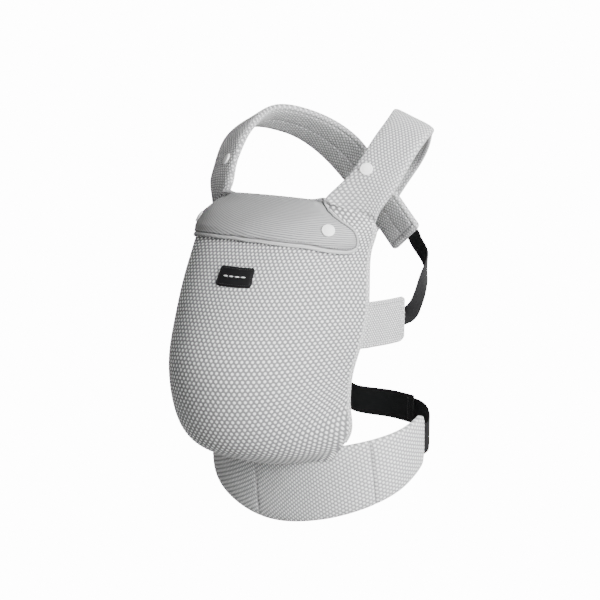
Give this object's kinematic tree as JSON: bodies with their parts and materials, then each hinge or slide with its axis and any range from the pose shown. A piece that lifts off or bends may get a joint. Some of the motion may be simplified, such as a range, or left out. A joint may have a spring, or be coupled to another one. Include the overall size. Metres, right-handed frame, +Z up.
{
  "type": "baby carrier",
  "caption": "Soft structured front carrier: bulging padded pouch panel, crossed shoulder straps, waist belt, fold-down head flap and side-release buckles",
  "frame": {"origin": "centre of the bounding box in plan, on the plane under the lowest point of the waist belt", "axes": "+X towards the wearer's left, -Y to the front (the side the pouch bulges to), +Z up, as worn by a standing person"},
  "size_m": [0.3168, 0.3854, 0.5135],
  "materials": {
    "mesh_grey": "light grey 3-D spacer mesh with small raised whiter cells",
    "lining_grey": "soft brushed knit, matte",
    "foam_white": "soft padding, hidden inside the covers",
    "edge_tape_grey": "folded binding tape, matte",
    "flap_twill_grey": "fine diagonal ribbed twill, matte",
    "webbing_black": "woven ribbed webbing, slight sheen",
    "buckle_black": "moulded acetal, satin",
    "snap_white": "moulded, smooth",
    "patch_black": "soft moulded patch, blank"
  },
  "bodies": {
    "carrier": {"belt_cover_centre": "mesh_grey", "belt_cover_left": "mesh_grey", "belt_cover_right": "mesh_grey", "belt_cover_right_end": "mesh_grey", "belt_lining": "lining_grey", "belt_padding": "foam_white", "label_patch": "patch_black", "leg_edge_tape_left": "edge_tape_grey", "leg_edge_tape_right": "edge_tape_grey", "panel_cover": "mesh_grey", "panel_lining": "lining_grey", "panel_padding": "foam_white", "panel_snap_back_left": "snap_white", "panel_snap_back_right": "snap_white", "panel_snap_stud_left": "snap_white", "panel_snap_stud_right": "snap_white", "shoulder_buckle_left_socket": "buckle_black", "shoulder_buckle_right_socket": "buckle_black", "shoulder_webbing_left": "webbing_black", "shoulder_webbing_right": "webbing_black", "socket_tab_left": "webbing_black", "socket_tab_right": "webbing_black", "strap_cover_left": "mesh_grey", "strap_cover_right": "mesh_grey", "strap_lining_left": "lining_grey", "strap_lining_right": "lining_grey", "strap_padding_left": "foam_white", "strap_padding_right": "foam_white", "strap_snap_cap_left": "snap_white", "strap_snap_cap_right": "snap_white", "strap_snap_stud_left": "snap_white", "strap_snap_stud_right": "snap_white", "waist_band_end_left": "webbing_black", "waist_buckle_socket": "buckle_black", "waist_webbing_left": "webbing_black", "waist_webbing_right": "webbing_black", "wing_cover_left": "mesh_grey", "wing_cover_right": "mesh_grey", "wing_lining_left": "lining_grey", "wing_lining_right": "lining_grey"},
    "head_flap": {"flap_cover": "flap_twill_grey", "flap_hem": "flap_twill_grey", "flap_lining": "lining_grey", "flap_padding": "foam_white", "flap_snap_cap_left": "snap_white", "flap_snap_cap_right": "snap_white", "flap_snap_socket_left": "snap_white", "flap_snap_socket_right": "snap_white"},
    "shoulder_buckle_left_plug": {"shoulder_buckle_left_plug": "buckle_black", "shoulder_buckle_left_plug_web": "webbing_black"},
    "shoulder_buckle_left_arm_a": {"shoulder_buckle_left_arm_a": "buckle_black"},
    "shoulder_buckle_left_arm_b": {"shoulder_buckle_left_arm_b": "buckle_black"},
    "shoulder_buckle_right_plug": {"shoulder_buckle_right_plug": "buckle_black", "shoulder_buckle_right_plug_web": "webbing_black"},
    "shoulder_buckle_right_arm_a": {"shoulder_buckle_right_arm_a": "buckle_black"},
    "shoulder_buckle_right_arm_b": {"shoulder_buckle_right_arm_b": "buckle_black"},
    "waist_buckle_plug": {"waist_buckle_plug": "buckle_black", "waist_buckle_plug_web": "webbing_black"},
    "waist_buckle_arm_a": {"waist_buckle_arm_a": "buckle_black"},
    "waist_buckle_arm_b": {"waist_buckle_arm_b": "buckle_black"}
  },
  "joints": [
    {"name": "head_flap_fold", "type": "hinge", "parent": "carrier", "child": "head_flap", "pos_m": [0, -0.05304, 0.40849], "axis": [-1, 0, 0], "range_deg": [0, 150]},
    {"name": "shoulder_buckle_left_release", "type": "slide", "parent": "carrier", "child": "shoulder_buckle_left_plug", "axis": [0.09, 0.9959, 0], "range_m": [0, 0.03]},
    {"name": "shoulder_buckle_left_squeeze_a", "type": "hinge", "parent": "shoulder_buckle_left_plug", "child": "shoulder_buckle_left_arm_a", "pos_m": [0.11379, 0.03526, 0.26725], "axis": [0.9959, -0.09, 0], "range_deg": [0, 6], "stiffness_Nm_per_rad": 0.05},
    {"name": "shoulder_buckle_left_squeeze_b", "type": "hinge", "parent": "shoulder_buckle_left_plug", "child": "shoulder_buckle_left_arm_b", "pos_m": [0.11379, 0.03526, 0.24625], "axis": [0.9959, -0.09, 0], "range_deg": [-6, 0], "stiffness_Nm_per_rad": 0.05},
    {"name": "shoulder_buckle_right_release", "type": "slide", "parent": "carrier", "child": "shoulder_buckle_right_plug", "axis": [-0.09, 0.9959, 0], "range_m": [0, 0.03]},
    {"name": "shoulder_buckle_right_squeeze_a", "type": "hinge", "parent": "shoulder_buckle_right_plug", "child": "shoulder_buckle_right_arm_a", "pos_m": [-0.11379, 0.03526, 0.26725], "axis": [0.9959, 0.09, 0], "range_deg": [0, 6], "stiffness_Nm_per_rad": 0.05},
    {"name": "shoulder_buckle_right_squeeze_b", "type": "hinge", "parent": "shoulder_buckle_right_plug", "child": "shoulder_buckle_right_arm_b", "pos_m": [-0.11379, 0.03526, 0.24625], "axis": [0.9959, 0.09, 0], "range_deg": [-6, 0], "stiffness_Nm_per_rad": 0.05},
    {"name": "waist_buckle_release", "type": "slide", "parent": "carrier", "child": "waist_buckle_plug", "axis": [0.975, 0.2224, 0], "range_m": [0, 0.032]},
    {"name": "waist_buckle_squeeze_a", "type": "hinge", "parent": "waist_buckle_plug", "child": "waist_buckle_arm_a", "pos_m": [-0.06296, 0.13994, 0.13152], "axis": [0.2224, -0.975, 0], "range_deg": [0, 6], "stiffness_Nm_per_rad": 0.05},
    {"name": "waist_buckle_squeeze_b", "type": "hinge", "parent": "waist_buckle_plug", "child": "waist_buckle_arm_b", "pos_m": [-0.06296, 0.13994, 0.09752], "axis": [0.2224, -0.975, 0], "range_deg": [-6, 0], "stiffness_Nm_per_rad": 0.05}
  ],
  "couplings": [
    {"joint": "shoulder_buckle_left_squeeze_b", "follows": "shoulder_buckle_left_squeeze_a", "ratio": -1},
    {"joint": "shoulder_buckle_right_squeeze_b", "follows": "shoulder_buckle_right_squeeze_a", "ratio": -1},
    {"joint": "waist_buckle_squeeze_b", "follows": "waist_buckle_squeeze_a", "ratio": -1}
  ]
}
